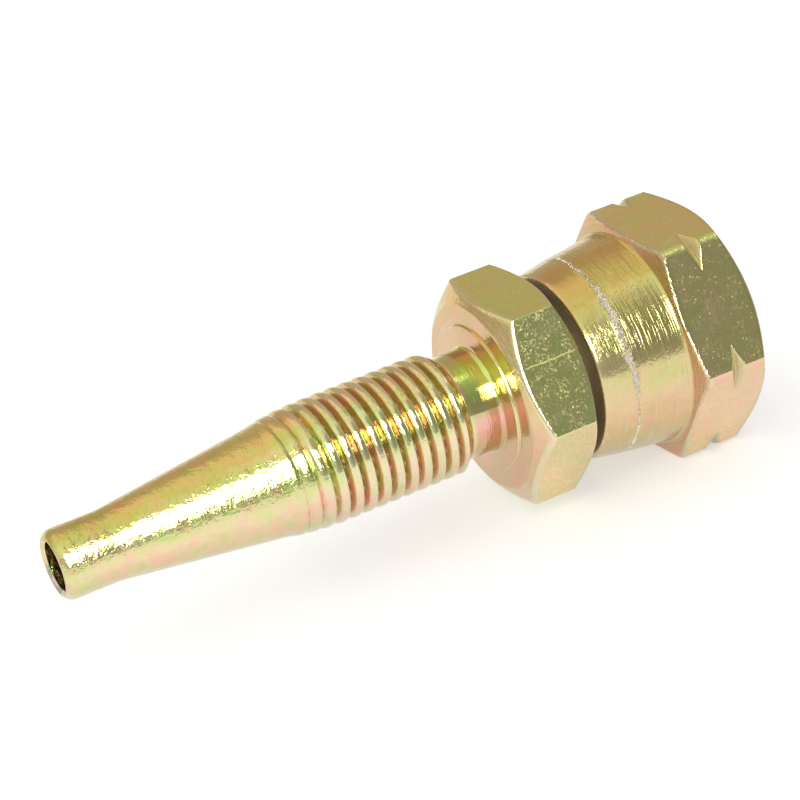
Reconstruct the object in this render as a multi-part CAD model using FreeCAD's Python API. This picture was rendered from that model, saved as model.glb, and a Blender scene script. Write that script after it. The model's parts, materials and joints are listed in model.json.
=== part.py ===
import FreeCAD, Part
import math
import os

# A reusable hose fitting with a female swivel end, in two pieces: a turned insert with a
# hose tail, and a hexagon nut whose collar is crimped over the insert's head.
# Millimetres. The axis runs along +X, the tail's mouth is at the origin, one flat of each
# hexagon faces down (-Z).

# Hose tail of the insert
bore_d = 4.0
tail_tip_d = 5.7
tail_tip_length = 4.6
tail_tip_chamfer = 0.3
tail_cone_half_angle = 7.1

# Thread that the outer socket screws onto, drawn as one turned groove for each turn. It
# runs out on the cone.
socket_thread_d = 10.2
socket_thread_depth = 0.8
socket_thread_length = 10.7
socket_thread_pitch = 1.22
socket_groove_half_angle = 25.0
run_out_grooves = 1
thread_end_angle = 45.0

# Neck and stop ring between the thread and the hexagon
neck_length = 2.95
neck_corner = 0.35
stop_ring_height = 0.25
stop_ring_chamfer = 0.12

# Hexagon of the insert
insert_hex_af = 16.8
insert_hex_length = 5.9
insert_hex_chamfer_angle = 30.0
insert_hex_front_land = 0.73
insert_hex_back_land = 0.45

# Head of the insert, held inside the nut
swivel_neck_d = 11.1
head_overlap = 0.5
head_length = 2.6
head_edge_chamfer = 0.2
seat_half_angle = 30.0
seat_land = 1.3

# How the nut sits round the head
lip_clearance = 0.45
cavity_clearance = 0.13
float_behind_head = 0.5
float_before_head = 0.4
nut_gap = 0.9

# Collar of the nut, crimped inwards from the crimp line to its end
collar_length = 7.45
collar_wall = 1.8
collar_taper = 7.1
crimp_length = 2.9
crimp_taper = 10.4
collar_end_chamfer = 0.15
collar_corner = 0.4

# Hexagon of the nut
nut_hex_af = 19.0
nut_hex_length = 7.13
nut_front_chamfer_angle = 18.5
nut_back_chamfer_angle = 33.0
nut_back_land = 0.69
nick_from_hex_front = 3.43
nick_depth = 0.95
nick_half_angle = 40.0

# Pipe thread inside the nut, drawn at its inner diameter
port_thread_inner_d = 11.445
port_thread_outer_d = 13.157
port_entry_angle = 45.0
port_entry_clearance = 0.15


def slope(angle):
    return math.tan(math.radians(angle))


# Radii that several features share
bore_r = bore_d / 2
tip_r = tail_tip_d / 2
socket_thread_r = socket_thread_d / 2
neck_r = socket_thread_r - socket_thread_depth
swivel_neck_r = swivel_neck_d / 2
lip_r = swivel_neck_r + lip_clearance
head_r = lip_r + head_overlap
cavity_r = head_r + cavity_clearance
crimp_line_r = cavity_r + collar_wall
seat_mouth_r = head_r - seat_land
port_inner_r = port_thread_inner_d / 2
port_entry_r = port_thread_outer_d / 2 + port_entry_clearance

# Places along the axis, from the tail's mouth to the nut's open end
tip_end_x = tail_tip_length
cone_end_x = tip_end_x + (socket_thread_r - tip_r) / slope(tail_cone_half_angle)
first_groove_x = cone_end_x + socket_thread_depth * slope(socket_groove_half_angle)
thread_end_x = cone_end_x + socket_thread_length
neck_x = thread_end_x + socket_thread_depth / slope(thread_end_angle)
stop_ring_x = neck_x + neck_length
hex_front_x = stop_ring_x + stop_ring_height
hex_back_x = hex_front_x + insert_hex_length
collar_end_x = hex_back_x + nut_gap
crimp_x = collar_end_x + crimp_length
lip_inner_x = crimp_x - (cavity_r - lip_r)
head_bevel_x = lip_inner_x - lip_clearance + float_behind_head
head_back_x = head_bevel_x + head_r - swivel_neck_r
head_front_x = head_back_x + head_length
shoulder_x = head_front_x + float_before_head
seat_end_x = head_front_x - (seat_mouth_r - bore_r) / slope(seat_half_angle)
nut_hex_x = collar_end_x + collar_length
nut_end_x = nut_hex_x + nut_hex_length
port_entry_x = nut_end_x - (port_entry_r - port_inner_r) / slope(port_entry_angle)


def turned(points):
    # A solid of revolution about the X axis from a closed outline of (x, radius) corners.
    corners = [FreeCAD.Vector(x, 0, r) for x, r in points]
    face = Part.Face(Part.makePolygon(corners + corners[:1]))
    return face.revolve(FreeCAD.Vector(0, 0, 0), FreeCAD.Vector(1, 0, 0), 360)


def hexagon_bar(start_x, length, across_flats):
    # Hexagon bar along X with one pair of flats level.
    corner_r = across_flats / math.sqrt(3)
    corners = []
    for i in range(7):
        angle = math.radians(60 * i)
        y = corner_r * math.cos(angle)
        z = corner_r * math.sin(angle)
        corners.append(FreeCAD.Vector(start_x, y, z))
    face = Part.Face(Part.makePolygon(corners))
    return face.extrude(FreeCAD.Vector(length, 0, 0))


def chamfered_hexagon(start_x, length, across_flats, front_r, front_angle, back_r, back_angle):
    # The bar turned down to a cone at each end, so the corners are cut back and each flat
    # ends in a curved edge.
    corner_r = across_flats / math.sqrt(3)
    front_rise = (corner_r - front_r) * slope(front_angle)
    back_rise = (corner_r - back_r) * slope(back_angle)
    envelope = turned([
        (start_x, 0),
        (start_x, front_r),
        (start_x + front_rise, corner_r),
        (start_x + length - back_rise, corner_r),
        (start_x + length, back_r),
        (start_x + length, 0),
    ])
    return hexagon_bar(start_x, length, across_flats).common(envelope)


def insert_hexagon():
    flat_r = insert_hex_af / 2
    return chamfered_hexagon(
        hex_front_x,
        insert_hex_length,
        insert_hex_af,
        flat_r - insert_hex_front_land,
        insert_hex_chamfer_angle,
        flat_r - insert_hex_back_land,
        insert_hex_chamfer_angle,
    )


def crest_r_at(x):
    # Outer radius of the tail's cone, and past its end that of the socket thread.
    return min(tip_r + (x - tip_end_x) * slope(tail_cone_half_angle), socket_thread_r)


def socket_grooves():
    # V-shaped grooves one pitch apart, from the shallow ones on the cone to the last that
    # leaves a crest in front of the thread's end.
    points = []
    room = thread_end_x - first_groove_x - socket_thread_depth * slope(socket_groove_half_angle)
    full_grooves = int(room / socket_thread_pitch) + 1
    for i in range(-run_out_grooves, full_grooves):
        depth = socket_thread_depth * min(1, 1 + i / (run_out_grooves + 1))
        half_width = depth * slope(socket_groove_half_angle)
        x = first_groove_x + i * socket_thread_pitch
        points.append((x - half_width, crest_r_at(x - half_width)))
        points.append((x, crest_r_at(x) - depth))
        points.append((x + half_width, crest_r_at(x + half_width)))
    return points


def insert_turning():
    # The tail, socket thread, neck, stop ring, swivel neck and head, with the bore and the
    # conical seat that a male end seals on.
    ring_inner_r = neck_r + neck_corner
    face_r = insert_hex_af / 2 - insert_hex_front_land
    ring_r = (ring_inner_r + face_r) / 2
    return turned([
        (0, bore_r),
        (0, tip_r - tail_tip_chamfer),
        (tail_tip_chamfer, tip_r),
        (tip_end_x, tip_r),
        *socket_grooves(),
        (thread_end_x, socket_thread_r),
        (neck_x, neck_r),
        (stop_ring_x - neck_corner, neck_r),
        (stop_ring_x, ring_inner_r),
        (stop_ring_x, ring_r - stop_ring_chamfer),
        (stop_ring_x + stop_ring_chamfer, ring_r),
        (hex_front_x, ring_r),
        (hex_back_x, ring_r),
        (hex_back_x, swivel_neck_r),
        (head_bevel_x, swivel_neck_r),
        (head_back_x, head_r),
        (head_front_x - head_edge_chamfer, head_r),
        (head_front_x, head_r - head_edge_chamfer),
        (head_front_x, seat_mouth_r),
        (seat_end_x, bore_r),
    ])


def insert():
    bore = Part.makeCylinder(
        bore_r,
        hex_back_x - hex_front_x,
        FreeCAD.Vector(hex_front_x, 0, 0),
        FreeCAD.Vector(1, 0, 0),
    )
    hexagon = insert_hexagon().cut(bore)
    return insert_turning().fuse(hexagon).removeSplitter()


def nut_hexagon():
    flat_r = nut_hex_af / 2
    hexagon = chamfered_hexagon(
        nut_hex_x,
        nut_hex_length,
        nut_hex_af,
        collar_r_at(nut_hex_x),
        nut_front_chamfer_angle,
        flat_r - nut_back_land,
        nut_back_chamfer_angle,
    )
    return hexagon.cut(corner_nick())


def corner_nick():
    # A V-shaped ring that is too shallow to reach the flats, so it only nicks the six
    # corners.
    corner_r = nut_hex_af / math.sqrt(3)
    nick_x = nut_hex_x + nick_from_hex_front
    outer_r = corner_r + nick_depth
    bottom_r = corner_r - nick_depth
    half_width = (outer_r - bottom_r) * slope(nick_half_angle)
    return turned([
        (nick_x, bottom_r),
        (nick_x - half_width, outer_r),
        (nick_x + half_width, outer_r),
    ])


def collar_r_at(x):
    # Outer radius of the collar's tapered part.
    return crimp_line_r + (x - crimp_x) * slope(collar_taper)


def nut_collar():
    # The collar with its crimped end and its root, which reaches into the hexagon.
    end_r = crimp_line_r - crimp_length * slope(crimp_taper)
    root_r = collar_r_at(nut_hex_x)
    root_end_x = nut_hex_x + nut_hex_length / 2
    corner_r = root_r + collar_corner
    corner_x = nut_hex_x + collar_corner * slope(nut_front_chamfer_angle)
    before_x = nut_hex_x - collar_corner
    return turned([
        (collar_end_x, 0),
        (collar_end_x, end_r - collar_end_chamfer),
        (collar_end_x + collar_end_chamfer, end_r),
        (crimp_x, crimp_line_r),
        (before_x, collar_r_at(before_x)),
        (corner_x, corner_r),
        (root_end_x, corner_r),
        (root_end_x, 0),
    ])


def nut_inside():
    # The space inside the nut: lip bore, bevel that holds the head, tapered cavity,
    # shoulder, thread bore and its entry chamfer.
    shoulder_r = cavity_r + (shoulder_x - crimp_x) * slope(collar_taper)
    return turned([
        (collar_end_x, 0),
        (collar_end_x, lip_r),
        (lip_inner_x, lip_r),
        (crimp_x, cavity_r),
        (shoulder_x, shoulder_r),
        (shoulder_x, port_inner_r),
        (port_entry_x, port_inner_r),
        (nut_end_x, port_entry_r),
        (nut_end_x, 0),
    ])


def swivel_nut():
    return nut_collar().fuse(nut_hexagon()).cut(nut_inside()).removeSplitter()


def save(name, shape):
    solid = shape.Solids[0]
    print(name, "valid", solid.isValid(), "solids", len(shape.Solids), "volume", round(solid.Volume, 2))
    shape.exportStep("parts/" + name + ".step")


os.makedirs("parts", exist_ok=True)
save("insert", insert())
save("swivel_nut", swivel_nut())
print("length", round(nut_end_x, 3), "hexagon", round(hex_front_x, 3), round(hex_back_x, 3))
print("collar", round(collar_end_x, 3), "nut hexagon", round(nut_hex_x, 3))
print("head", round(head_back_x, 3), round(head_front_x, 3), "shoulder", round(shoulder_x, 3))
print("thread", round(cone_end_x, 3), round(thread_end_x, 3), "port", round(port_entry_x, 3))
print("first groove", round(first_groove_x, 3))
print("seat end", round(seat_end_x, 3))
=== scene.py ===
# %% [markdown]
# A female hose fitting lies on a white table: a turned steel insert with a hose tail, a
# rolled thread and a hexagon, and a hexagon nut that swivels on its head. Both are zinc
# plated and yellow passivated. The solids, their sizes and the swivel joint come ready
# made as a fixed frame. This lesson adds what a close look wants: the threads as true
# helices, small roundings on every edge, the flaked plating along the crimp, and the
# shifting gold, green and pink of the passivation.

# %% Load the frame and keep its box
import json
import math
import bpy
import numpy as np
from mathutils import Matrix, Vector


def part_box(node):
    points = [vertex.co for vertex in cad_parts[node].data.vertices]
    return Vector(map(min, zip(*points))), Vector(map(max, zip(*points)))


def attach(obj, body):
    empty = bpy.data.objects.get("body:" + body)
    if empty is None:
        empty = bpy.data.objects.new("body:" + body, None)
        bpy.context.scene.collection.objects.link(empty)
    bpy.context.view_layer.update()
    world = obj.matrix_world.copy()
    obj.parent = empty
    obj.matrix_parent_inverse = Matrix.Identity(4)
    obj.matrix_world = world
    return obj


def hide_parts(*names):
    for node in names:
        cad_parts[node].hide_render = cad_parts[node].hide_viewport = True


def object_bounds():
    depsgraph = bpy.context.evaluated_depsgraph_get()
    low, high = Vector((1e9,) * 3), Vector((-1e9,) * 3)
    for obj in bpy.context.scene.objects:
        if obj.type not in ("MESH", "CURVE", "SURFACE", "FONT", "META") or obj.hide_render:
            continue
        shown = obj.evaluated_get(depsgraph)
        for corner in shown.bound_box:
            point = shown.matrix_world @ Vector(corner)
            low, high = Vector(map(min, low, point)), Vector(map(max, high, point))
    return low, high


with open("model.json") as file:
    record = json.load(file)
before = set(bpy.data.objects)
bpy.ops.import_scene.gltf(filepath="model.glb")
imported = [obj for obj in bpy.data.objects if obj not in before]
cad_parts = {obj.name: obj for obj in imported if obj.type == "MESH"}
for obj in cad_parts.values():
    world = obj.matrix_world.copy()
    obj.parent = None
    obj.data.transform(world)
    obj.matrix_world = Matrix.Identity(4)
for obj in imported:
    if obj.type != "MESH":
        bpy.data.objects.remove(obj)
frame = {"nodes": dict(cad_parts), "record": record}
cad_low, cad_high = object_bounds()
print("nodes", sorted(frame["nodes"]), "box", list(cad_low), list(cad_high))

# %% [markdown]
# Sizes are in millimetres here, because that is how the fitting is drawn, and every mesh
# is brought to metres when it is made. What the frame knows is read from it: the overall
# box, the bore, the tail's tip and the two threads come from the boxes and the mounts, so
# the finish follows the solids.

# %% Sizes read from the frame
METRES = 0.001
mounts = {mount["name"]: mount for mount in frame["record"]["mounts"]}


def mount_size(name, key):
    return mounts[name]["dims"][key]


def mount_x(name):
    return mounts[name]["pos_m"][0] / METRES


def node_box(name):
    low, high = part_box(name)
    return np.array(low) / METRES, np.array(high) / METRES


insert_high = node_box("insert")[1]
nut_low, nut_high = node_box("swivel_nut")
bore_r = mount_size("fluid_bore", "r_mm")
seat_end = mount_size("fluid_bore", "length_mm")
tip_r = mount_size("hose_tail", "r_mm")
tip_bevel = mount_x("hose_tail")
tip_end = tip_bevel + mount_size("hose_tail", "length_mm")
thread_r = mount_size("socket_thread", "r_mm")
thread_end = mount_x("socket_thread") + mount_size("socket_thread", "length_mm")
port_r = mount_size("port_thread", "r_mm")
port_entry = mount_x("port_thread")
shoulder = port_entry - mount_size("port_thread", "length_mm")
insert_half_flats = insert_high[2]
nut_half_flats = nut_high[2]
print("tail", tip_end, "thread end", thread_end, "port", shoulder, port_entry)

# %% [markdown]
# The frame doesn't name the places in between, such as the neck or the crimp line, so
# they are given here once, as a drawing would give them.

# %% Sizes between the mounts
def tangent(degrees):
    return math.tan(math.radians(degrees))


thread_depth = 0.8
thread_pitch = 1.22
cone_slope = tangent(7.1)
neck_length = 2.95
stop_ring_height = 0.25
insert_hex_length = 5.9
insert_chamfer = tangent(30)
insert_front_circle = insert_half_flats - 0.73
insert_back_circle = insert_half_flats - 0.45
swivel_r = 5.55
head_r = 6.5
head_length = 2.6
crimp_length = 2.9
crimp_line_r = 8.43
crimp_taper = tangent(10.4)
collar_length = 7.45
collar_taper = tangent(7.1)
collar_corner = 0.42
nut_front_chamfer = tangent(18.5)
nut_back_chamfer = tangent(33)
nut_back_circle = nut_half_flats - 0.69
lip_r = 6.0
cavity_r = 6.63
port_root_r = 6.5785
port_pitch = 1.337
print("end faces", insert_front_circle, insert_back_circle, nut_back_circle)

# %% Places along the axis
neck_r = thread_r - thread_depth
neck_start = thread_end + thread_depth
stop_ring = neck_start + neck_length
hex_front = stop_ring + stop_ring_height
hex_back = hex_front + insert_hex_length
head_front = insert_high[0]
head_back = head_front - head_length
collar_end = nut_low[0]
crimp_line = collar_end + crimp_length
nut_hex = collar_end + collar_length
nut_end = nut_high[0]
collar_root_r = crimp_line_r + (nut_hex - crimp_line) * collar_taper
print("hexagons", hex_front, hex_back, nut_hex, nut_end, "crimp", crimp_line)

# %% [markdown]
# Both pieces are turned, so each is one closed grid: rows follow the outline from the
# mouth over the outside and back through the bore, and columns go round the axis. A
# point of the grid is (x, r cos a, r sin a). Where a hexagon or a thread breaks the
# roundness, x and r simply depend on the angle a as well. That keeps the whole piece one
# clean skin with no boolean cuts. A row is kept as two arrays, x and r, one value for
# each column. The six corners of a hexagon are turned to a narrow round band, which
# catches a line of light, so each band gets columns of its own.

# %% Columns round the axis
SIDES = 6
sector = 2 * math.pi / SIDES


def corner_arc(half_flats, corner_r):
    """Half the angle of a corner's band, seen from the axis.

    It is 30 degrees less the angle whose cosine is half flats / corner's radius.
    """
    return sector / 2 - math.acos(half_flats / corner_r)


def column_angles(arc, flat_columns):
    """Angles of the columns: five on and beside each corner's band, the rest even between."""
    on_corner = np.array([-1.15, -0.9, 0.0, 0.9, 1.15]) * arc
    on_flat = np.linspace(2.5 * arc, sector - 2.5 * arc, flat_columns)
    one_side = np.concatenate([on_corner, on_flat])
    return (np.arange(SIDES)[:, None] * sector + one_side).ravel()


def hexagon_reach(angle, half_flats, corner_r):
    """Distance from the axis to the hexagon's side at each angle, and which angles are corners.

    It is half flats / cos(angle from the flat's middle), but no more than the radius that
    the corners are turned to, so each corner ends in a narrow round band.
    """
    off_corner = np.abs((angle + sector / 2) % sector - sector / 2)
    reach = np.minimum(half_flats / np.cos(sector / 2 - off_corner), corner_r)
    return reach, off_corner < corner_arc(half_flats, corner_r)


insert_corner_r = 9.68
nut_corner_r = 10.78
insert_flat_columns = 27
nut_flat_columns = 37
insert_angles = column_angles(corner_arc(insert_half_flats, insert_corner_r), insert_flat_columns)
nut_angles = column_angles(corner_arc(nut_half_flats, nut_corner_r), nut_flat_columns)
insert_reach, insert_corners = hexagon_reach(insert_angles, insert_half_flats, insert_corner_r)
nut_reach, nut_corners = hexagon_reach(nut_angles, nut_half_flats, nut_corner_r)
print("columns", len(insert_angles), len(nut_angles))
print("corner radii", insert_reach.max(), nut_reach.max())

# %% [markdown]
# A turned stretch is drawn as a short list of corners, each with its own rounding, as on
# a lathe drawing. The helper puts a tangent arc in place of each corner. Rounded edges
# matter more than anything else on bright metal, because each one catches a thin line of
# light.

# %% Turned outlines
def turned_rows(corners, angles, steps=4):
    """Rows of a turned stretch from (x, radius, rounding) corners.

    A rounding c on a corner whose sides meet at angle 2h becomes an arc that starts and
    ends c / tan h from the corner, about a centre c / sin h along the bisector.
    """
    outline = []
    for i, (x, r, rounding) in enumerate(corners):
        here = np.array([x, r])
        if rounding == 0:
            outline.append(here[None, :])
            continue
        back = np.array(corners[i - 1][:2]) - here
        ahead = np.array(corners[i + 1][:2]) - here
        back = back / np.linalg.norm(back)
        ahead = ahead / np.linalg.norm(ahead)
        half = math.acos(np.clip(back @ ahead, -1.0, 1.0)) / 2
        bisector = (back + ahead) / np.linalg.norm(back + ahead)
        centre = here + bisector * rounding / math.sin(half)
        first = here + back * rounding / math.tan(half) - centre
        last = here + ahead * rounding / math.tan(half) - centre
        sweep = math.pi - 2 * half
        t = np.linspace(0.0, 1.0, steps + 1)[:, None]
        arc = (np.sin((1 - t) * sweep) * first + np.sin(t * sweep) * last) / math.sin(sweep)
        outline.append(centre + arc)
    outline = np.concatenate(outline)
    return np.repeat(outline[:, :, None], len(angles), axis=2)


def between(first, last, count):
    """Rows evenly spaced from one row to another, both included."""
    t = np.linspace(0.0, 1.0, count)[:, None, None]
    return first * (1 - t) + last * t


def part_way(first, last, distance):
    """A row that lies a given distance from the first row, on the way to the last."""
    length = np.sqrt(((last - first) ** 2).sum(axis=0))
    share = np.minimum(distance / np.maximum(length, 1e-6), 0.4)
    return first + (last - first) * share


def softened(before, edge, after, width):
    """Three rows that round an edge off: one short of it, one cut in by half, one past it."""
    first = part_way(edge, before, width)
    last = part_way(edge, after, width)
    middle = 0.25 * first + 0.5 * edge + 0.25 * last
    return np.stack([first, middle, last])


# %% [markdown]
# Some looks follow the shape: a flat is scuffed, a groove gets painted shade, an edge is
# rubbed pale and given a painted highlight, the plating has flaked along the crimp, the
# film's colours are clearest on the smoothly turned neck, and the faces in the gap between
# the hexagon and the collar are dull and get painted shade. Each vertex therefore carries
# six marks, from 0 for none, which the materials read as attributes.

# %% Marks and mesh making
MARKS = ("flat", "recess", "edge", "flake", "clear", "dull")
sharp_angle = math.radians(38)


def zone(rows, **marks):
    """Rows together with their marks, each mark spread over all vertices of the rows."""
    shape = (rows.shape[0], rows.shape[2])
    spread = {}
    for name in MARKS:
        spread[name] = np.broadcast_to(np.asarray(marks.get(name, 0.0), float), shape)
    return rows, spread


def ring_quads(count, columns):
    """Vertex numbers of the faces: each row is joined to the next and the last to the first."""
    i, j = np.meshgrid(np.arange(count), np.arange(columns), indexing="ij")
    next_i = (i + 1) % count
    next_j = (j + 1) % columns
    corners = [
        i * columns + j,
        i * columns + next_j,
        next_i * columns + next_j,
        next_i * columns + j,
    ]
    return np.stack([corner.ravel() for corner in corners], axis=1)


def signed_volume(points, quads):
    """The sum of each triangle's corner product over six: positive if faces look outwards."""
    a, b, c, d = (points[quads[:, k]] for k in range(4))
    return (np.cross(a, b) * c).sum() / 6 + (np.cross(a, c) * d).sum() / 6


def quad_mesh(name, points, quads):
    """A mesh filled from whole arrays of points and four-cornered faces."""
    mesh = bpy.data.meshes.new(name)
    mesh.vertices.add(len(points))
    mesh.vertices.foreach_set("co", points.astype(np.float32).ravel())
    mesh.loops.add(quads.size)
    mesh.loops.foreach_set("vertex_index", quads.astype(np.int32).ravel())
    mesh.polygons.add(len(quads))
    mesh.polygons.foreach_set("loop_start", np.arange(0, quads.size, 4, dtype=np.int32))
    mesh.update(calc_edges=True)
    mesh.validate()
    return mesh


def closed_skin(name, zones, angles):
    """One closed mesh from all zones, its faces turned outwards, its marks on the vertices."""
    rows = np.concatenate([rows for rows, marks in zones])
    count, _, columns = rows.shape
    x, r = rows[:, 0, :], rows[:, 1, :]
    points = np.stack([x, r * np.cos(angles), r * np.sin(angles)], axis=2) * METRES
    points = points.reshape(-1, 3)
    quads = ring_quads(count, columns)
    volume = signed_volume(points, quads)
    if volume < 0:
        quads = quads[:, ::-1]
    mesh = quad_mesh(name, points, quads)
    for mark in MARKS:
        values = np.concatenate([marks[mark] for rows, marks in zones]).ravel()
        attribute = mesh.attributes.new(mark, "FLOAT", "POINT")
        attribute.data.foreach_set("value", values.astype(np.float32))
    mesh.shade_smooth()
    mesh.set_sharp_from_angle(angle=sharp_angle)
    piece = bpy.data.objects.new(name, mesh)
    bpy.context.scene.collection.objects.link(piece)
    print(name, "rows", count, "triangles", 2 * len(quads), "volume mm3", abs(volume) * 1e9)
    return piece


# %% [markdown]
# The socket thread looks rolled onto the tail: its crests are round and stand a hair
# above the cone where it runs out. It is a right-handed helix: going once round, the
# pattern moves one pitch along. A screw modifier could sweep one groove along it, but the
# run-out would then need cuts. Here the share of a pitch from the nearest crest gives a
# triangle wave, and a bent line over it makes the crest broad and leaves a narrow V at the
# root.

# %% The groove's form
crest_rounding = 0.02


def smooth_step(t):
    """The S curve t^2 (3 - 2 t), level at 0 and at 1."""
    t = np.clip(t, 0.0, 1.0)
    return t * t * (3 - 2 * t)


def groove_share(x, angle, pitch, phase, breadth, softness):
    """How deep in the groove a point is: 0 on the crest, 1 at the root.

    turns = x / pitch - angle / one turn is constant along the helix. The triangle wave w
    of it is 0 on the crest and 1 at the root, and sqrt(w^2 + rounding), brought back to
    the same ends, rounds its tip. The hyperbola v + sqrt(v^2 + softness^2), with v = w -
    breadth, is nearly level on the crest and nearly straight on the flank.
    """
    turns = x / pitch - angle / (2 * math.pi) - phase
    wave = 2 * np.abs(turns - np.round(turns))
    least = math.sqrt(crest_rounding)
    most = math.sqrt(1 + crest_rounding)
    wave = (np.sqrt(wave**2 + crest_rounding) - least) / (most - least)
    bent = [v + np.sqrt(v**2 + softness**2) for v in (wave - breadth, -breadth, 1 - breadth)]
    return (bent[0] - bent[1]) / (bent[2] - bent[1])


# %% The rolled thread
crest_phase = 0.84
crest_breadth = 0.46
crest_softness = 0.20
thread_root_r = neck_r + 0.12
run_out_start = 17.9
run_out_length = 5.6
crest_raise = 0.13
raise_length = 1.2
raise_fade_start = 20.5
raise_fade_length = 2.5
rows_per_pitch = 24


def rolled_thread(angles):
    """Radius over x and angle: crest line - depth times groove share, cut by the end bevel."""
    end = neck_start + 0.12
    count = int((end - run_out_start) / thread_pitch * rows_per_pitch)
    x = np.linspace(run_out_start, end, count)[:, None] * np.ones(len(angles))
    cone = np.minimum(tip_r + (x - tip_end) * cone_slope, thread_r)
    grown = smooth_step((x - run_out_start) / run_out_length)
    raised = smooth_step((x - run_out_start) / raise_length)
    faded = smooth_step((x - raise_fade_start) / raise_fade_length)
    lifted = crest_raise * raised * (1 - faded)
    share = groove_share(x, angles, thread_pitch, crest_phase, crest_breadth, crest_softness)
    crest = np.minimum(cone + lifted, thread_r)
    radius = crest - (crest - thread_root_r) * grown * share - lifted * (1 - grown) * share
    bevel = thread_r - (x - thread_end)
    radius = np.maximum(np.minimum(radius, bevel), neck_r)
    # Flanks and roots get painted shade, deepest at the root; crests are painted paler, part wear
    # and part painted highlight.
    flank = smooth_step((share - 0.25) / 0.4)
    root = smooth_step((share - 0.75) / 0.2)
    recess = (0.25 * flank + 0.4 * root) * grown
    rubbed = 1.1 * smooth_step(1 - share / 0.35) * grown
    return np.stack([x, radius], axis=1), recess, rubbed


thread_rows, thread_shaded_recess, thread_rubbed_sheen = rolled_thread(insert_angles)
print("thread rows", len(thread_rows))

# %% [markdown]
# A hexagon turned down at both ends shows a curved edge on each flat, because the cone
# cuts deeper into the corners. A boolean cut gives the same curve with ragged triangles.
# In the grid the cone's edge is simply a row whose x grows with the reach of the hexagon,
# so the curve comes by itself.

# %% Hexagons
front_edge_width = 0.18
back_edge_width = 0.03


def bevel_edge(start, circle_r, slope, reach):
    """The row where the end's cone meets the flats: x = start + (reach - circle) slope."""
    return np.stack([start + (reach - circle_r) * slope, reach])


def circle_row(x, r, columns):
    return np.stack([np.full(columns, float(x)), np.full(columns, float(r))])


def insert_hexagon():
    """The insert's hexagon: front cone, flats, back cone, with softened edges between."""
    columns = len(insert_angles)
    front_face = circle_row(hex_front, insert_front_circle, columns)
    front = bevel_edge(hex_front, insert_front_circle, insert_chamfer, insert_reach)
    back = bevel_edge(hex_back, insert_back_circle, -insert_chamfer, insert_reach)
    back_face = circle_row(hex_back, insert_back_circle, columns)
    front_edge = softened(front_face, front, back, front_edge_width)
    back_edge = softened(front, back, back_face, back_edge_width)
    corners = insert_corners.astype(float)
    return [
        zone(between(front_face, front_edge[0], 6)[:-1]),
        zone(front_edge, edge=1.0),
        zone(between(front_edge[2], back_edge[0], 14)[1:-1], flat=1.0, edge=corners),
        zone(back_edge, edge=0.2),
        zone(between(back_edge[2], back_face, 5)[1:-1]),
    ]


# %% [markdown]
# The insert's outline runs from the rim over the tail, the thread, the neck, the stop ring
# and the hexagon to the hidden swivel neck and head, and back through the seat and the
# bore. It could be put together from several meshes, but one skin has no joints to hide.
# A long rounding of 9 mm makes the soft bend between the tail's tip and its cone.

# %% The insert's outline
bore_bevel = 0.26
tip_rim = 0.45
stop_ring_r = 6.16


def tail_rows(angles):
    """The bore's mouth, the rounded rim, the tip and the cone up to the thread."""
    run_out_r = tip_r + (run_out_start - tip_end) * cone_slope
    return turned_rows([
        (bore_bevel, bore_r, 0),
        (0, bore_r + bore_bevel, 0.05),
        (0, tip_r - tip_rim, 0.3),
        (tip_rim, tip_r, 0.7),
        (tip_end, tip_r, 9.0),
        ((tip_end + run_out_start) / 2, (tip_r + run_out_r) / 2, 0),
        (run_out_start - 0.05, run_out_r - 0.05 * cone_slope, 0),
    ], angles)


def neck_rows(angles):
    """The neck, the stop ring and the hexagon's front face."""
    return turned_rows([
        (neck_start + 0.2, neck_r, 0),
        (neck_start + 0.5, neck_r, 0),
        (neck_start + 1.5, neck_r, 0),
        (stop_ring - 0.5, neck_r, 0),
        (stop_ring, neck_r, 0.4),
        (stop_ring, stop_ring_r, 0.16),
        (hex_front, stop_ring_r + 0.02, 0.07),
        (hex_front, insert_front_circle - 0.3, 0),
        (hex_front, insert_front_circle - 0.03, 0),
    ], angles)


def hidden_rows(angles):
    """The hexagon's back face, the swivel neck, the head, its seat and the bore."""
    return turned_rows([
        (hex_back, insert_back_circle, 0),
        (hex_back, insert_back_circle - 0.25, 0),
        (hex_back, swivel_r + 0.2, 0),
        (hex_back + 0.2, swivel_r, 0),
        (head_back - (head_r - swivel_r), swivel_r, 0),
        (head_back, head_r, 0),
        (head_front - 0.2, head_r, 0.1),
        (head_front, head_r - 0.2, 0.1),
        (head_front, 5.2, 0.08),
        (seat_end, bore_r, 0.3),
        (seat_end - 1.0, bore_r, 0),
        (seat_end / 2, bore_r, 0),
        (2.0, bore_r, 0),
        (0.5, bore_r, 0),
    ], angles)


# %% The insert
def insert_zones():
    neck = neck_rows(insert_angles)
    hidden = hidden_rows(insert_angles)
    on_neck = neck[:, 0, :] < stop_ring - 0.1
    neck_clear = smooth_step((neck[:, 0, :] - neck_start - 0.2) / 0.3) * on_neck
    # Faces hidden in the nut and in the gap are dull and get painted shade.
    inside_nut = (hidden[:, 1, :] > bore_r + 0.5).astype(float)
    return [
        zone(tail_rows(insert_angles)),
        zone(thread_rows, recess=thread_shaded_recess, edge=thread_rubbed_sheen),
        zone(neck, clear=neck_clear),
        *insert_hexagon(),
        zone(hidden, recess=0.5 * inside_nut, dull=inside_nut),
    ]


insert_finished = closed_skin("insert_finished", insert_zones(), insert_angles)

# %% [markdown]
# Where the collar is crimped over the head, the photograph shows a broken pale ridge. It
# is taken for plating that cracked along the bend and lifted in small flakes. The ridge
# wanders a little about the crimp line, comes and goes round the collar, and reaches a few
# hundredths of a millimetre up. Sums of a few sine waves with whole numbers of waves per
# turn wander without a seam.

# %% The flaked crimp line
worst_side = 142
worst_half = 34.0


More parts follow.
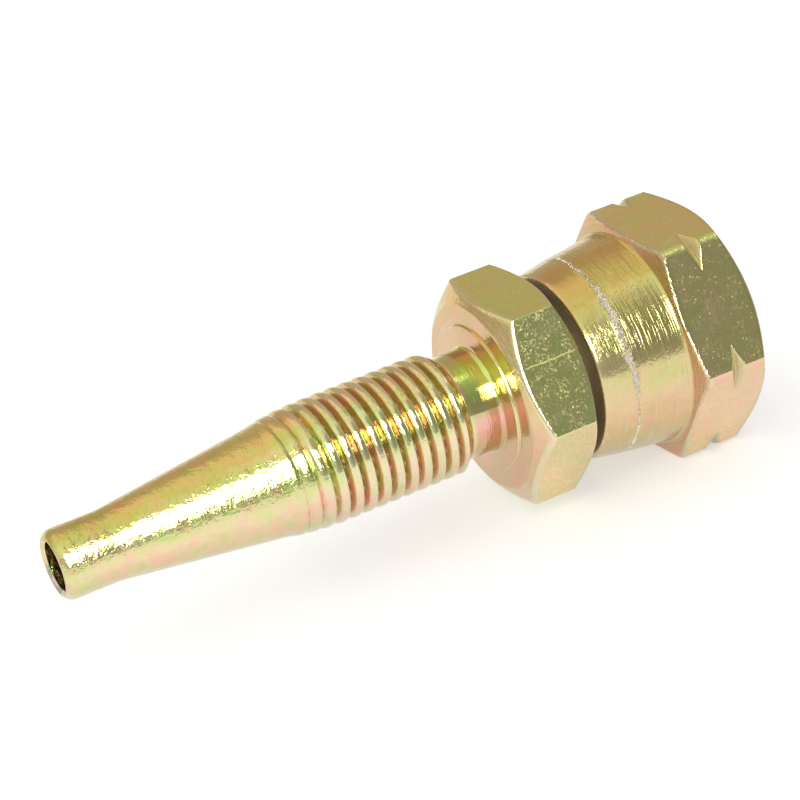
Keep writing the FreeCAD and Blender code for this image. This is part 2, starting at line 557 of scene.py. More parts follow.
def wandering(angles, waves, seed):
    """A smooth curve round the axis, about -1 to 1: sines of 'waves' random whole rates."""
    draw = np.random.default_rng(seed)
    rates = draw.integers(2, 60, waves)
    phases = draw.uniform(0, 2 * math.pi, waves)
    sizes = 1 / np.sqrt(rates)
    sines = np.sin(rates[:, None] * angles + phases[:, None])
    return (sizes[:, None] * sines).sum(0) / sizes.sum() * 1.8


def flaking(x, angles):
    """Share of flaked plating: a bell across the crimp line with a wandering middle.

    exp(-((x - middle) / width)^2), where middle and width change round the collar. One
    side, about 142 degrees round, is worse than the rest.
    """
    worst = np.exp(-((np.degrees(angles) - worst_side) / worst_half) ** 4)
    middle = crimp_line - 0.15 * worst + 0.12 * wandering(angles, 12, 3)
    width = 0.18 + 0.13 * worst + 0.10 * wandering(angles, 9, 5)
    height = np.clip(0.85 + 0.3 * worst + 0.5 * wandering(angles, 7, 11), 0.3, 1.2)
    return height * np.exp(-(((x - middle) / np.maximum(width, 0.07)) ** 2))


# %% The collar
crimp_rounding = 0.012
crimp_rounding_half = 0.25
flake_height = 0.03


def collar_taper_rows(angles):
    """Radius of the two tapers, eased at the crimp line and raised by lumpy flakes."""
    x = np.linspace(collar_end + 0.8, nut_hex - 0.8, 90)[:, None] * np.ones(len(angles))
    slope = np.where(x < crimp_line, crimp_taper, collar_taper)
    radius = crimp_line_r + (x - crimp_line) * slope
    eased = crimp_rounding * smooth_step(1 - np.abs(x - crimp_line) / crimp_rounding_half)
    flakes = flaking(x, angles)
    lumps = 0.5 + 0.5 * wandering(angles * 7, 14, 21)
    radius = radius - eased + flake_height * flakes * lumps
    return np.stack([x, radius], axis=1), flakes


def collar_rows(angles):
    """Rows of the collar: the crimped end, the crimp line and the taper to the hexagon."""
    end_r = crimp_line_r - (crimp_line - collar_end) * crimp_taper
    end = turned_rows([
        (collar_end, lip_r + 0.1, 0),
        (collar_end, end_r - 0.4, 0),
        (collar_end, end_r, 0.35),
        (collar_end + 0.6, end_r + 0.6 * crimp_taper, 0),
    ], angles, steps=8)
    taper, flakes = collar_taper_rows(angles)
    root = turned_rows([
        (nut_hex - 0.6, collar_root_r - 0.6 * collar_taper, 0),
        (nut_hex, collar_root_r, 0.4),
        (nut_hex + collar_corner * nut_front_chamfer, collar_root_r + collar_corner, 0),
    ], angles, steps=8)
    # The collar's end face, in the gap, is dull and gets painted shade; its rim is painted paler,
    # part wear and part painted highlight.
    face = (end[:, 0, :] < collar_end + 0.02).astype(float)
    rim = smooth_step(1 - (end[:, 0, :] - collar_end) / 0.4) * (1 - face)
    return [
        zone(end, edge=rim, dull=face),
        zone(taper, flake=flakes),
        zone(root),
    ]


# %% [markdown]
# The nut's six corners carry a turned V groove, which doesn't reach the flats. Its two
# edges are rows that open out from the groove's line by the height of the corner above
# the groove's bottom, so on the flats they close up to almost nothing.

# %% The nut's hexagon
nick_line = nut_hex + 3.43
nick_bottom_r = 10.02
nick_slope = tangent(40)
nick_least = 0.02
nick_edge_width = 0.05
nick_bottom_width = 0.04


def nut_hexagon():
    """Front cone, flats, corner nick, flats, back cone, with softened edges between."""
    columns = len(nut_angles)
    face_x = nut_hex + collar_corner * nut_front_chamfer
    front_face = circle_row(face_x, collar_root_r + collar_corner, columns)
    front = bevel_edge(nut_hex, collar_root_r, nut_front_chamfer, nut_reach)
    back = bevel_edge(nut_end, nut_back_circle, -nut_back_chamfer, nut_reach)
    back_face = circle_row(nut_end, nut_back_circle, columns)
    opening = np.maximum(nut_reach - nick_bottom_r, 0.0) * nick_slope + nick_least
    nick_left = np.stack([nick_line - opening, nut_reach])
    nick_right = np.stack([nick_line + opening, nut_reach])
    nick_low = np.stack([np.full(columns, nick_line), np.minimum(nut_reach, nick_bottom_r)])
    front_edge = softened(front_face, front, nick_left, front_edge_width)
    left_edge = softened(front, nick_left, nick_low, nick_edge_width)
    right_edge = softened(nick_low, nick_right, back, nick_edge_width)
    low_edge = softened(nick_left, nick_low, nick_right, nick_bottom_width)
    back_edge = softened(nick_right, back, back_face, back_edge_width)
    corners = nut_corners.astype(float)
    in_nick = (nut_reach > nick_bottom_r).astype(float)
    side = {"flat": 1.0, "edge": 0.2 * corners, "clear": 0.7 * corners}
    # The nick's edges are painted paler, part wear and part painted highlight, and its walls get
    # painted shade.
    nick_edge = {"edge": 0.3 * in_nick, "flat": 1 - in_nick}
    nick_wall = {"flat": 1 - in_nick, "recess": 0.4 * in_nick}
    return [
        zone(between(front_face, front_edge[0], 5)[1:-1]),
        zone(front_edge, edge=1.0),
        zone(between(front_edge[2], left_edge[0], 9)[1:-1], **side),
        zone(left_edge, **nick_edge),
        zone(between(left_edge[2], low_edge[0], 4)[1:-1], **nick_wall),
        zone(low_edge, **nick_wall),
        zone(between(low_edge[2], right_edge[0], 4)[1:-1], **nick_wall),
        zone(right_edge, **nick_edge),
        zone(between(right_edge[2], back_edge[0], 9)[1:-1], **side),
        zone(back_edge, edge=0.2),
        zone(between(back_edge[2], back_face, 5)[1:-1]),
    ]


# %% [markdown]
# The pipe thread inside is the same kind of helix, cut inwards: its crests lie at the
# mount's radius and its roots further out. The entry bevel opens it at the mouth, and it
# fades out before the shoulder, as a tap leaves it.

# %% The nut's inside
port_rows_per_pitch = 16
port_entry_r = port_root_r + 0.15
port_crest_breadth = 0.1
port_crest_softness = 0.1
port_plain_length = 0.6
port_fade_length = 1.2


def port_thread(angles):
    """Radius over x and angle: the larger of the thread and the entry bevel."""
    count = int((nut_end - shoulder) / port_pitch * port_rows_per_pitch)
    x = np.linspace(nut_end - 0.02, shoulder + 0.05, count)[:, None] * np.ones(len(angles))
    share = groove_share(x, angles, port_pitch, 0.0, port_crest_breadth, port_crest_softness)
    grown = smooth_step((x - shoulder - port_plain_length) / port_fade_length)
    radius = port_r + (port_root_r - port_r) * grown * share
    entry = port_entry_r - (nut_end - x)
    return np.stack([x, np.maximum(radius, entry)], axis=1), share


def nut_zones():
    end_face = turned_rows([
        (nut_end, nut_back_circle, 0),
        (nut_end, nut_back_circle - 0.25, 0),
        (nut_end, port_entry_r + 0.2, 0),
        (nut_end, port_entry_r + 0.04, 0),
    ], nut_angles)
    thread, share = port_thread(nut_angles)
    shoulder_r = cavity_r + (shoulder - crimp_line) * collar_taper
    inside = turned_rows([
        (shoulder, port_r, 0),
        (shoulder, shoulder_r, 0),
        (crimp_line, cavity_r, 0),
        (crimp_line - (cavity_r - lip_r), lip_r, 0),
        (collar_end + 0.1, lip_r, 0),
    ], nut_angles)
    return [
        *collar_rows(nut_angles),
        *nut_hexagon(),
        zone(end_face),
        # The pipe thread gets painted shade, deepest in its roots, and the cavity behind it painted
        # shade all over.
        zone(thread, recess=0.25 + 0.5 * share),
        zone(inside, recess=1.0),
    ]


nut_finished = closed_skin("nut_finished", nut_zones(), nut_angles)

# %% [markdown]
# Yellow passivation is a film some tenths of a micrometre thick, whose colour runs through
# gold, green and pink with its thickness. In the photograph the tint changes from the
# upper side to the under side. One picture can't tell whether that is the film or the room
# mirrored in it. Here a colour ramp plays it from side to side, pushed to and fro by slow
# noise, so no two places match. Patterns read Object coordinates in millimetres, so they
# stay put when the nut turns.

# %% Node helpers
class Painter:
    """Adds nodes to one material or world and joins them; methods return an output socket."""

    def __init__(self, owner):
        self.owner = owner
        owner.use_nodes = True
        self.tree = owner.node_tree
        self.tree.nodes.clear()
        place = self.tree.nodes.new("ShaderNodeTexCoord")
        self.millimetres = self.scaled(place.outputs["Object"], (1 / METRES,) * 3)
        self.normal = place.outputs["Normal"]
        self.direction = place.outputs["Generated"]

    def put(self, socket, value):
        if isinstance(value, bpy.types.NodeSocket):
            self.tree.links.new(value, socket)
        else:
            socket.default_value = value

    def vector_math(self, operation, first, second):
        node = self.tree.nodes.new("ShaderNodeVectorMath")
        node.operation = operation
        self.put(node.inputs[0], first)
        self.put(node.inputs[1], second)
        return node.outputs

    def scaled(self, vector, factors):
        return self.vector_math("MULTIPLY", vector, factors)["Vector"]

    def split(self, vector):
        node = self.tree.nodes.new("ShaderNodeSeparateXYZ")
        self.put(node.inputs[0], vector)
        return node.outputs[0], node.outputs[1], node.outputs[2]

    def join(self, x, y, z):
        node = self.tree.nodes.new("ShaderNodeCombineXYZ")
        for socket, value in zip(node.inputs, (x, y, z)):
            self.put(socket, value)
        return node.outputs[0]

    def math(self, operation, *values, clamp=False):
        node = self.tree.nodes.new("ShaderNodeMath")
        node.operation = operation
        node.use_clamp = clamp
        for socket, value in zip(node.inputs, values):
            self.put(socket, value)
        return node.outputs[0]

    def spread(self, value, low, high, to_low=0.0, to_high=1.0):
        node = self.tree.nodes.new("ShaderNodeMapRange")
        node.interpolation_type = "SMOOTHSTEP"
        for socket, number in zip(node.inputs, (value, low, high, to_low, to_high)):
            self.put(socket, number)
        return node.outputs[0]

    def noise(self, vector, scale, detail=3.0, roughness=0.55):
        node = self.tree.nodes.new("ShaderNodeTexNoise")
        self.put(node.inputs["Vector"], vector)
        self.put(node.inputs["Scale"], scale)
        self.put(node.inputs["Detail"], detail)
        self.put(node.inputs["Roughness"], roughness)
        return node.outputs["Fac"]

    def cells(self, vector, scale):
        node = self.tree.nodes.new("ShaderNodeTexVoronoi")
        self.put(node.inputs["Vector"], vector)
        self.put(node.inputs["Scale"], scale)
        return node.outputs["Distance"]

    def mark(self, name):
        node = self.tree.nodes.new("ShaderNodeAttribute")
        node.attribute_name = name
        return node.outputs["Fac"]

    def ramp(self, value, stops):
        node = self.tree.nodes.new("ShaderNodeValToRGB")
        self.put(node.inputs[0], value)
        elements = node.color_ramp.elements
        elements[0].position, elements[-1].position = stops[0][0], stops[-1][0]
        elements[0].color, elements[-1].color = (*stops[0][1], 1), (*stops[-1][1], 1)
        for position, colour in stops[1:-1]:
            elements.new(position).color = (*colour, 1)
        return node.outputs["Color"]

    def mix(self, share, first, second, blend="MIX"):
        node = self.tree.nodes.new("ShaderNodeMix")
        node.data_type = "RGBA"
        node.blend_type = blend
        self.put(node.inputs["Factor"], share)
        for socket, colour in zip((node.inputs[6], node.inputs[7]), (first, second)):
            self.put(socket, (*colour, 1) if isinstance(colour, tuple) else colour)
        return node.outputs[2]

    def bump(self, height, distance, under=None):
        node = self.tree.nodes.new("ShaderNodeBump")
        self.put(node.inputs["Height"], height)
        self.put(node.inputs["Distance"], distance * METRES)
        self.put(node.inputs["Strength"], 1.0)
        if under is not None:
            self.put(node.inputs["Normal"], under)
        return node.outputs["Normal"]

    def surface(self, **sockets):
        shader = self.tree.nodes.new("ShaderNodeBsdfPrincipled")
        for name, value in sockets.items():
            colour = isinstance(value, tuple)
            self.put(shader.inputs[name.replace("_", " ")], (*value, 1) if colour else value)
        output = self.tree.nodes.new("ShaderNodeOutputMaterial")
        self.put(output.inputs["Surface"], shader.outputs[0])
        return self.owner


# %% [markdown]
# The film's colours, from the upper side (1) to the under side (0), as linear values.
# Several stops began as average colours measured on bands round the photograph's tail and
# neck, and the rest were set with those averages at hand. The first ramp was then made a
# little less blue. A thin-film formula is another way to get them, and it wasn't tried.

# %% Colours of the film
FILM = [
    (0.00, (0.66, 0.60, 0.46)),
    (0.22, (0.68, 0.64, 0.46)),
    (0.32, (0.71, 0.61, 0.36)),
    (0.41, (0.80, 0.61, 0.39)),
    (0.49, (0.86, 0.69, 0.44)),
    (0.55, (0.80, 0.73, 0.38)),
    (0.62, (0.71, 0.69, 0.30)),
    (0.76, (0.74, 0.71, 0.26)),
    (0.84, (0.70, 0.56, 0.16)),
    (0.92, (0.75, 0.53, 0.16)),
    (1.00, (0.74, 0.46, 0.14)),
]
CLEAR_FILM = [
    (0.30, (0.60, 0.46, 0.22)),
    (0.45, (0.76, 0.44, 0.32)),
    (0.53, (0.88, 0.50, 0.43)),
    (0.60, (0.62, 0.54, 0.24)),
    (0.67, (0.69, 0.76, 0.24)),
    (0.80, (0.72, 0.88, 0.20)),
    (0.87, (0.58, 0.66, 0.10)),
    (0.97, (0.65, 0.44, 0.15)),
]
STAINS = [(0.36, (0.86, 1.03, 0.78)), (0.50, (1.0, 1.0, 1.0)), (0.64, (1.10, 0.90, 1.02))]
END_FACE = (0.68, 0.44, 0.27)
# The next four colours: pale worn zinc that also serves as a painted highlight, painted shade for
# grooves and recesses, deeper painted shade for roots and between feed marks, and painted shade for
# the dull faces in the gap.
PALE_WEAR_AND_GLINT = (0.92, 0.90, 0.80)
GROOVE_SHADE = (0.52, 0.46, 0.35)
DEEP_GROOVE_SHADE = (0.17, 0.15, 0.09)
DULL_FACE_SHADE = (0.50, 0.45, 0.30)
FLAKE = [(0.0, (1.0, 0.97, 0.85)), (0.6, (0.96, 0.89, 0.69))]
print("film stops", len(FILM), "clear film stops", len(CLEAR_FILM))


def round_coordinates(paint):
    """Along the axis, distance from it, and the angle round it."""
    x, y, z = paint.split(paint.millimetres)
    angle = paint.math("ARCTAN2", z, y)
    squares = paint.math("ADD", paint.math("MULTIPLY", y, y), paint.math("MULTIPLY", z, z))
    return x, paint.math("SQRT", squares), angle


def film_place(paint, flat):
    """The ramp's place is 0.5 + arcsin(up) / pi, so it is even round the axis.

    Round surfaces take their up from z / distance from the axis, so a thread's flanks
    don't change it. Flats take it from their normal, and 0.72 times as far.
    """
    level = paint.split(paint.normal)[2]
    height = paint.math("DIVIDE", paint.split(paint.millimetres)[2], round_coordinates(paint)[1])
    round_place = paint.math("MULTIPLY", paint.math("ARCSINE", height), 1 / math.pi)
    flat_place = paint.math("MULTIPLY", paint.math("ARCSINE", level), 0.72 / math.pi)
    chosen = paint.math("SUBTRACT", flat_place, round_place)
    return paint.math("ADD", paint.math("MULTIPLY_ADD", chosen, flat, round_place), 0.5)


def film_colour(paint, flat, clear):
    """The film on turned faces and flats, its clearer ramp, and one tone on end faces.

    Two noises move the place on the ramp by up to 0.12 and 0.10, which is as far as a band
    of colour wanders, and a third stains the film green or pink, most of all on the tail.
    """
    even = film_place(paint, flat)
    slow = paint.noise(paint.scaled(paint.millimetres, (0.16, 0.3, 0.3)), 1.0, 2.0)
    quick = paint.noise(paint.scaled(paint.millimetres, (0.9, 1.3, 1.3)), 1.0, 4.0, 0.7)
    place = paint.math("ADD", even, paint.math("MULTIPLY_ADD", slow, 0.24, -0.12))
    place = paint.math("ADD", place, paint.math("MULTIPLY_ADD", quick, 0.20, -0.10), clamp=True)
    colour = paint.mix(clear, paint.ramp(place, FILM), paint.ramp(even, CLEAR_FILM))
    facing = paint.math("ABSOLUTE", paint.split(paint.normal)[0])
    end_face = paint.spread(facing, 0.75, 0.98, 0.0, 0.8)
    colour = paint.mix(end_face, colour, END_FACE)
    stains = paint.ramp(paint.noise(paint.millimetres, 0.55, 3.0, 0.6), STAINS)
    share = paint.spread(paint.split(paint.millimetres)[0], 30.0, 42.0, 1.0, 0.35)
    share = paint.math("MULTIPLY", share, paint.math("SUBTRACT", 1.0, clear, clamp=True))
    return paint.mix(share, colour, paint.mix(1.0, colour, stains, "MULTIPLY"))


# %% [markdown]
# Turned surfaces carry fine feed marks: noise that changes fast along the axis and hardly
# at all round it. Flats are drawn bar: they get a slow swell under a fine grain, and rough
# scuffs in patches, which show on a flat that mirrors a dark wall where a painted speck
# would not. One flat has a score along the axis. All this is too fine for the mesh and
# goes into the colour, the roughness and the bump. In the colour, the feed marks carry a
# painted highlight on their ridges and painted shade between them.

# %% Relief of the surface
def turning_marks(paint):
    """Height of the feed marks: two noises stretched round the axis."""
    x, distance, angle = round_coordinates(paint)
    along = paint.math("ADD", x, distance)
    cosine = paint.math("COSINE", angle)
    sine = paint.math("SINE", angle)
    coarse = paint.noise(paint.join(paint.math("MULTIPLY", along, 2.6), cosine, sine), 1.0, 3.0, 0.7)
    fine = paint.noise(paint.join(paint.math("MULTIPLY", along, 7.0), cosine, sine), 1.0, 2.0, 0.6)
    return paint.math("ADD", coarse, paint.math("MULTIPLY", fine, 0.4))


def flat_relief(paint):
    """A slow swell under a fine grain, as drawn bar has."""
    swell = paint.noise(paint.millimetres, 1.3, 3.0, 0.6)
    grain = paint.noise(paint.millimetres, 3.8, 2.0, 0.6)
    return paint.math("MULTIPLY_ADD", grain, 0.50, swell)


def scuffs(paint, cover):
    """Rough grains on a flat, 'cover' at most and thinner in places, and scattered specks."""
    grains = paint.noise(paint.millimetres, 5.0, 3.0, 0.65)
    grains = paint.spread(grains, 0.44, 0.70, 0.0, cover)
    dots = paint.spread(paint.cells(paint.millimetres, 2.8), 0.10, 0.26, 1.0, 0.0)
    kept = paint.spread(paint.noise(paint.millimetres, 1.1, 3.0), 0.46, 0.56)
    grains = paint.math("MULTIPLY", grains, paint.math("MULTIPLY_ADD", kept, 0.6, 0.4))
    return paint.math("MAXIMUM", grains, paint.math("MULTIPLY", dots, kept))


def score_line(paint):
    """A score along the axis on the flat that faces -Y and up: height in the flat = 0.97."""
    _, y, z = paint.split(paint.millimetres)
    across = paint.math("ADD", paint.math("MULTIPLY", y, 0.5), paint.math("MULTIPLY", z, 0.866))
    wobble = paint.math("MULTIPLY_ADD", paint.noise(paint.millimetres, 0.8, 3.0), 0.3, -0.15 - 0.97)
    off_line = paint.math("ABSOLUTE", paint.math("ADD", across, wobble))
    line = paint.spread(off_line, 0.0, 0.07, 1.0, 0.0)
    return paint.math("MULTIPLY", line, paint.math("LESS_THAN", y, 0.0))


# %% [markdown]
# One recipe serves both pieces. First come the shares: the marks of the mesh, and how much
# of each kind of wear a point has. Colour, roughness and relief all read the same shares,
# so a flake is pale, dull and raised in one place. Metal is at its most telling in the
# roughness: rubbed edges are smooth, and grooves, scuffs and flakes are dull.

# %% Shares of marks and wear
def finish_shares(paint, scuff_cover):
    shares = {name: paint.mark(name) for name in MARKS}
    speckle = paint.noise(paint.millimetres, 4.0, 5.0, 0.8)
    chips = paint.cells(paint.millimetres, 5.0)
    grains = paint.math("ADD", shares["flake"], paint.math("MULTIPLY_ADD", speckle, 2.4, -1.12))
    flaked = paint.spread(paint.math("SUBTRACT", grains, chips), 0.05, 0.22)
    shares["speckle"] = speckle
    shares["chips"] = chips
    shares["wide"] = paint.noise(paint.millimetres, 0.9, 3.0)
    shares["round"] = paint.math("SUBTRACT", 1.0, shares["flat"], clamp=True)
    shares["flaked"] = paint.math("MULTIPLY", flaked, paint.spread(shares["flake"], 0.02, 0.2))
    # Edges and crests are painted paler, part wear and part painted highlight.
    shares["rubbed"] = paint.math("MULTIPLY", shares["edge"], paint.spread(speckle, 0.38, 0.55))
    shares["scuffed"] = paint.math("MULTIPLY", scuffs(paint, scuff_cover), shares["flat"])
    return shares


# %% Colour of the finish
def painted_turning_lines(paint, shares, marks, strength):
    """Shares of painted highlight on the ridges of the feed marks and painted shade between them, in
    wide patches of the round surfaces.
    """
    lines = paint.math("MULTIPLY", paint.spread(shares["wide"], 0.45, 0.60), strength)
    lines = paint.math("MULTIPLY", lines, shares["round"])
    glint_share = paint.math("MULTIPLY", lines, paint.spread(marks, 0.70, 0.92, 0.0, 0.5))
    shade_share = paint.math("MULTIPLY", lines, paint.spread(marks, 0.48, 0.66, 0.4, 0.0))
    return glint_share, shade_share


def zinc_colour(paint, shares, marks, tint, flat_tint, line_strength):
    """The tinted film, and over it one layer after the other, the flakes last."""
    flat = shares["flat"]
    recess = shares["recess"]
    colour = film_colour(paint, flat, shares["clear"])
    colour = paint.mix(1.0, colour, paint.mix(flat, tint, flat_tint), "MULTIPLY")
    painted_glint_lines, painted_shade_lines = painted_turning_lines(paint, shares, marks, line_strength)
    # Painted on in order: pale scuffs, painted shade on the dull faces in the gap, painted highlight
    # and painted shade along the feed marks, painted shade in grooves and recesses, pale edges that
    # are part wear and part painted highlight, and the flakes.
    layers = [
        (paint.math("MULTIPLY", shares["scuffed"], 0.15), PALE_WEAR_AND_GLINT),
        (paint.math("MULTIPLY", shares["dull"], 0.8), DULL_FACE_SHADE),
        (painted_glint_lines, PALE_WEAR_AND_GLINT),
        (painted_shade_lines, DEEP_GROOVE_SHADE),
        (recess, paint.ramp(recess, [(0.0, GROOVE_SHADE), (0.4, GROOVE_SHADE), (1.0, DEEP_GROOVE_SHADE)])),
        (paint.math("MULTIPLY", shares["rubbed"], 0.25), PALE_WEAR_AND_GLINT),
        (shares["flaked"], paint.ramp(shares["chips"], FLAKE)),
    ]
    for share, layer in layers:
        colour = paint.mix(share, colour, layer)
    return colour


# %% Roughness of the finish
ADDED_ROUGHNESS = {
    "flat": 0.03,
    "clear": -0.08,
    "recess": 0.20,
    "dull": 0.35,
    "scuffed": 0.40,
    "flaked": 0.25,
    "rubbed": -0.04,
}


def zinc_roughness(paint, shares):
    """0.08 to 0.20 with a slow noise, and what each share adds."""
    rough = paint.math("MULTIPLY_ADD", shares["wide"], 0.12, 0.08)
    for name, added in ADDED_ROUGHNESS.items():
        rough = paint.math("MULTIPLY_ADD", shares[name], added, rough)
    return paint.math("ADD", rough, 0.0, clamp=True)


# %% Relief of the finish
swell_depth = 0.034
pebble_depth = 0.085
flake_depth = 0.3


def pebbles(paint, shares):
    """A hammered look: strong on the tail, weak past it, and weaker on clear faces and flats."""
    coarse = paint.spread(paint.split(paint.millimetres)[0], 17.0, 23.0, 1.0, 0.35)
    coarse = paint.math("MULTIPLY", coarse, paint.math("MULTIPLY_ADD", shares["clear"], -0.8, 1.0))
    coarse = paint.math("MULTIPLY", coarse, paint.math("MULTIPLY_ADD", shares["flat"], -0.75, 1.0))
    return paint.math("MULTIPLY", paint.noise(paint.millimetres, 1.7, 3.0, 0.6), coarse)


def zinc_relief(paint, shares, marks, turning_depth, turned_from, score_depth):
    """Bumps laid over each other; the turning marks are pressed smooth before turned_from."""
    x = paint.split(paint.millimetres)[0]
    turned = paint.math("MULTIPLY", marks, shares["round"])
    pressed_smooth = paint.spread(x, turned_from - 0.6, turned_from, 0.3, 1.0)
    normal = paint.bump(paint.math("MULTIPLY", turned, pressed_smooth), turning_depth)
    swell = paint.math("MULTIPLY", flat_relief(paint), shares["flat"])
    normal = paint.bump(swell, swell_depth, under=normal)
    if score_depth > 0:
        score = paint.math("MULTIPLY", score_line(paint), shares["flat"])
        normal = paint.bump(score, -score_depth, under=normal)
    normal = paint.bump(pebbles(paint, shares), pebble_depth, under=normal)
    crumbs = paint.math("MULTIPLY_ADD", shares["chips"], 0.8, shares["speckle"])
    return paint.bump(paint.math("MULTIPLY", shares["flaked"], crumbs), flake_depth, under=normal)


# %% The yellow zinc finish
def yellow_zinc(name, tint, flat_tint, turning_depth, turned_from, scuff_cover, score_depth):
    """The finish of one piece; its painted highlight and shade along the turning lines are as strong
    as the marks are deep.
    """
    paint = Painter(bpy.data.materials.new(name))
    shares = finish_shares(paint, scuff_cover)
    marks = turning_marks(paint)
    return paint.surface(
        Base_Color=zinc_colour(paint, shares, marks, tint, flat_tint, turning_depth * 10),
        Metallic=paint.math("MULTIPLY_ADD", shares["flaked"], -0.15, 1.0),
        Roughness=zinc_roughness(paint, shares),
        Normal=zinc_relief(paint, shares, marks, turning_depth, turned_from, score_depth),
    )


insert_metal = yellow_zinc(
    "yellow_zinc_insert_finish",
    tint=(1.0, 1.0, 1.0),
    flat_tint=(0.97, 1.02, 0.90),
    turning_depth=0.02,
    turned_from=0.0,
    scuff_cover=0.68,
    score_depth=0.03,
)
nut_metal = yellow_zinc(
    "yellow_zinc_nut_finish",
    tint=(0.90, 0.84, 0.78),
    flat_tint=(1.03, 0.95, 0.95),
    turning_depth=0.045,
    turned_from=crimp_line,
    scuff_cover=0.4,
    score_depth=0.0,
)
for node in frame["nodes"].values():
    node.data.materials.clear()
    node.data.materials.append(insert_metal)
insert_finished.data.materials.append(insert_metal)
nut_finished.data.materials.append(nut_metal)
print("materials", [material.name for material in bpy.data.materials])

# %% [markdown]
# Each finished piece stands for its solid and moves with its body, so the nut's skin
# swivels with the nut.

# %% Tie the pieces to the frame
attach(insert_finished, "insert_body")
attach(nut_finished, "nut_body")
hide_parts("insert")
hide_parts("swivel_nut")

# %% [markdown]
# The table is a wide disc just under the nut's lower flat. To the camera it should read
# as white paper with a soft shadow, so a little light of its own is added for camera rays
# only.

# %% The table
floor_z = cad_low[2]
floor_radius = 2.5
floor_rings = 12
floor_columns = 64
table_glow = 0.44


def table_top():
    """A flat ring grid: radius grows with the square of the row, so it is fine near the middle."""
    turns = np.linspace(0, 2 * math.pi, floor_columns, endpoint=False)
    radii = floor_radius * np.linspace(0.02, 1, floor_rings) ** 2
    x = (radii[:, None] * np.cos(turns)).ravel()
    y = (radii[:, None] * np.sin(turns)).ravel()
    points = np.stack([x, y, np.full(x.size, floor_z)], axis=1)
    quads = ring_quads(floor_rings, floor_columns)[:-floor_columns, ::-1]
    middle = list(range(floor_columns))
    mesh = bpy.data.meshes.new("table_top")
    mesh.from_pydata(points.tolist(), [], [*quads.tolist(), middle])
    table = bpy.data.objects.new("table_top", mesh)
    bpy.context.scene.collection.objects.link(table)
    return table


def paper_white():
    paint = Painter(bpy.data.materials.new("paper_white"))
    light_path = paint.tree.nodes.new("ShaderNodeLightPath")
    glossy = paint.math("MULTIPLY", light_path.outputs["Is Glossy Ray"], 0.9)
    seen = paint.math("MAXIMUM", light_path.outputs["Is Camera Ray"], glossy)
    seen = paint.math("MULTIPLY", seen, table_glow)
    grain = paint.noise(paint.millimetres, 0.4, 3.0)
    tone = paint.ramp(grain, [(0.3, (0.90, 0.90, 0.90)), (0.7, (0.92, 0.92, 0.92))])
    return paint.surface(
        Base_Color=tone, Roughness=0.9, Specular_IOR_Level=0.0,
        Emission_Color=(1.0, 1.0, 1.0), Emission_Strength=seen,
    )


floor = table_top()
floor.data.materials.append(paper_white())

# %% [markdown]
# The photograph was taken from above the tail's side with a long lens and a slightly
# turned camera. The camera's place is given by its direction, its distance and the turn.

# %% The camera
camera_heading = math.radians(24.499)
camera_dip = math.radians(28.981)
camera_turn = math.radians(9.054)
camera_distance = 209.496
camera_aim = Vector((30.688, 0.685, 2.091))
camera_lens = 119.524


def place_camera():
    forward = Vector((
        math.sin(camera_heading) * math.cos(camera_dip),
        math.cos(camera_heading) * math.cos(camera_dip),
        -math.sin(camera_dip),
    ))
    level_right = forward.cross(Vector((0, 0, 1))).normalized()
    level_up = level_right.cross(forward)
    right = level_right * math.cos(camera_turn) - level_up * math.sin(camera_turn)
    up = level_up * math.cos(camera_turn) + level_right * math.sin(camera_turn)
    lens = bpy.data.cameras.new("camera")
    lens.lens = camera_lens
    lens.sensor_width = 36.0
    lens.clip_start = 0.01
    lens.clip_end = 10.0
    camera = bpy.data.objects.new("camera", lens)
    bpy.context.scene.collection.objects.link(camera)
    turn = Matrix((right, up, -forward)).transposed().to_4x4()
    place = (camera_aim - forward * camera_distance) * METRES
    camera.matrix_world = Matrix.Translation(place) @ turn
    bpy.context.scene.camera = camera
    return camera


camera = place_camera()
print("camera at", [round(value, 4) for value in camera.matrix_world.translation])

# %% [markdown]
# A soft box on the camera's side makes the white band along the tail. A small strip held
# close over the thread lights its crests and ends before the hexagons, and another high
# on the right draws the bright line along the nut's upper corner. All are hidden from
# rough rays, so they make highlights but no hard shadows.

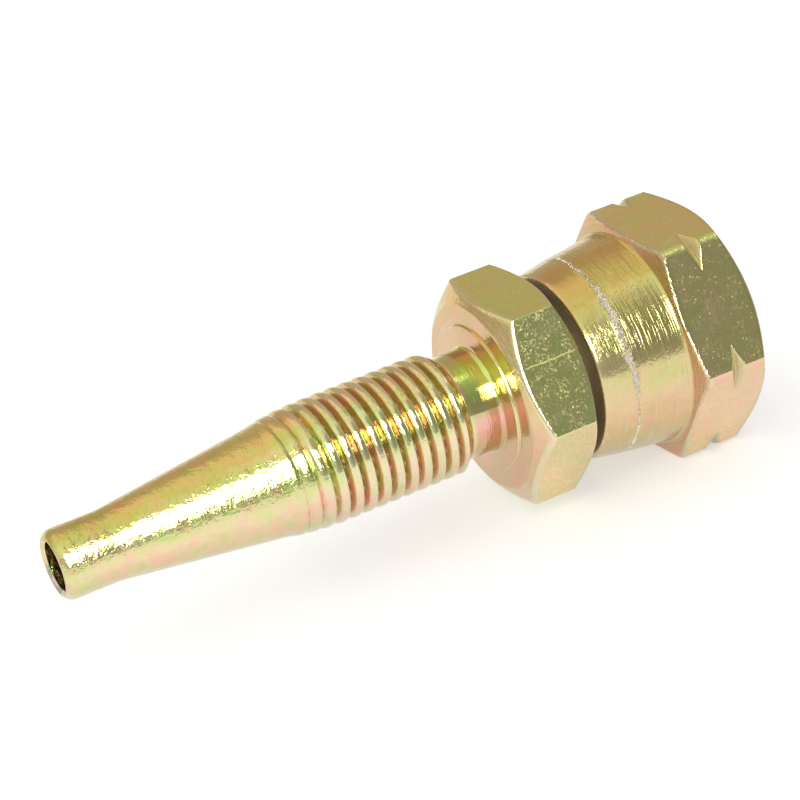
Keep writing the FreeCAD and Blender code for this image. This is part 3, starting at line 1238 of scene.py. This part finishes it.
# %% Lights
def soft_box(name, aim, direction, distance, width, height, radiance):
    """A flat light that faces its aim. Its power is radiance x area x pi (a flat, even glow)."""
    light = bpy.data.lights.new(name, "AREA")
    light.shape = "RECTANGLE"
    light.size = width
    light.size_y = height
    light.energy = radiance * width * height * math.pi
    lamp = bpy.data.objects.new(name, light)
    bpy.context.scene.collection.objects.link(lamp)
    outwards = Vector(direction).normalized()
    place = Vector(aim) * METRES + outwards * distance
    turn = outwards.to_track_quat("Z", "Y").to_matrix().to_4x4()
    lamp.matrix_world = Matrix.Translation(place) @ turn
    lamp.visible_diffuse = False
    print(name, "watts", round(light.energy, 4))
    return lamp


soft_box("tail_soft_box", (-31, 0, 0), (0, -0.80, 0.60), 0.23, 0.138, 0.12, 8.0)
soft_box("near_strip", (6, 0, 0), (0, -0.69, 0.72), 0.06, 0.074, 0.011, 8.0)
soft_box("upper_strip", (140, -12, 0), (0, 0, 1), 0.20, 0.028, 0.045, 1.0)


# %% [markdown]
# Polished metal is mostly a picture of its room, so the walls matter as much as the lamps.
# A picture of a studio could stand there, but a few smooth patches are easier to steer:
# pale below, darker beyond the camera's right and where the flats that face the camera
# look, and brighter overhead.

# %% The walls of the studio
wall_level = 0.58
WALL_PATCHES = [
    ((0, 0, -1), -0.04, 0.02, 0.42),
    ((0.6, -0.70, 0.40), 0.60, 0.95, -0.22),
    ((0.363, -0.818, 0.447), 0.94, 0.992, -0.06),
    ((-0.5, 0.09, 1.0), 0.62, 0.76, 0.38),
]


def towards(paint, direction, far, near, share):
    """A wide round patch of the walls: share times a smooth rise of the cosine to a direction."""
    middle = Vector(direction).normalized()
    cosine = paint.vector_math("DOT_PRODUCT", paint.direction, middle)["Value"]
    return paint.spread(cosine, far, near, 0.0, share)


def studio_walls():
    """White to the camera. For reflections and light: one level, and patches added to it."""
    paint = Painter(bpy.data.worlds.new("studio"))
    level = wall_level
    for patch in WALL_PATCHES:
        level = paint.math("ADD", towards(paint, *patch), level)
    light_path = paint.tree.nodes.new("ShaderNodeLightPath")
    background = paint.tree.nodes.new("ShaderNodeBackground")
    output = paint.tree.nodes.new("ShaderNodeOutputWorld")
    white = paint.math("MAXIMUM", light_path.outputs["Is Camera Ray"], level)
    paint.put(background.inputs["Color"], (1, 1, 1, 1))
    paint.put(background.inputs["Strength"], white)
    paint.put(output.inputs["Surface"], background.outputs[0])
    bpy.context.scene.world = paint.owner


studio_walls()
bpy.context.scene.view_settings.view_transform = "Standard"
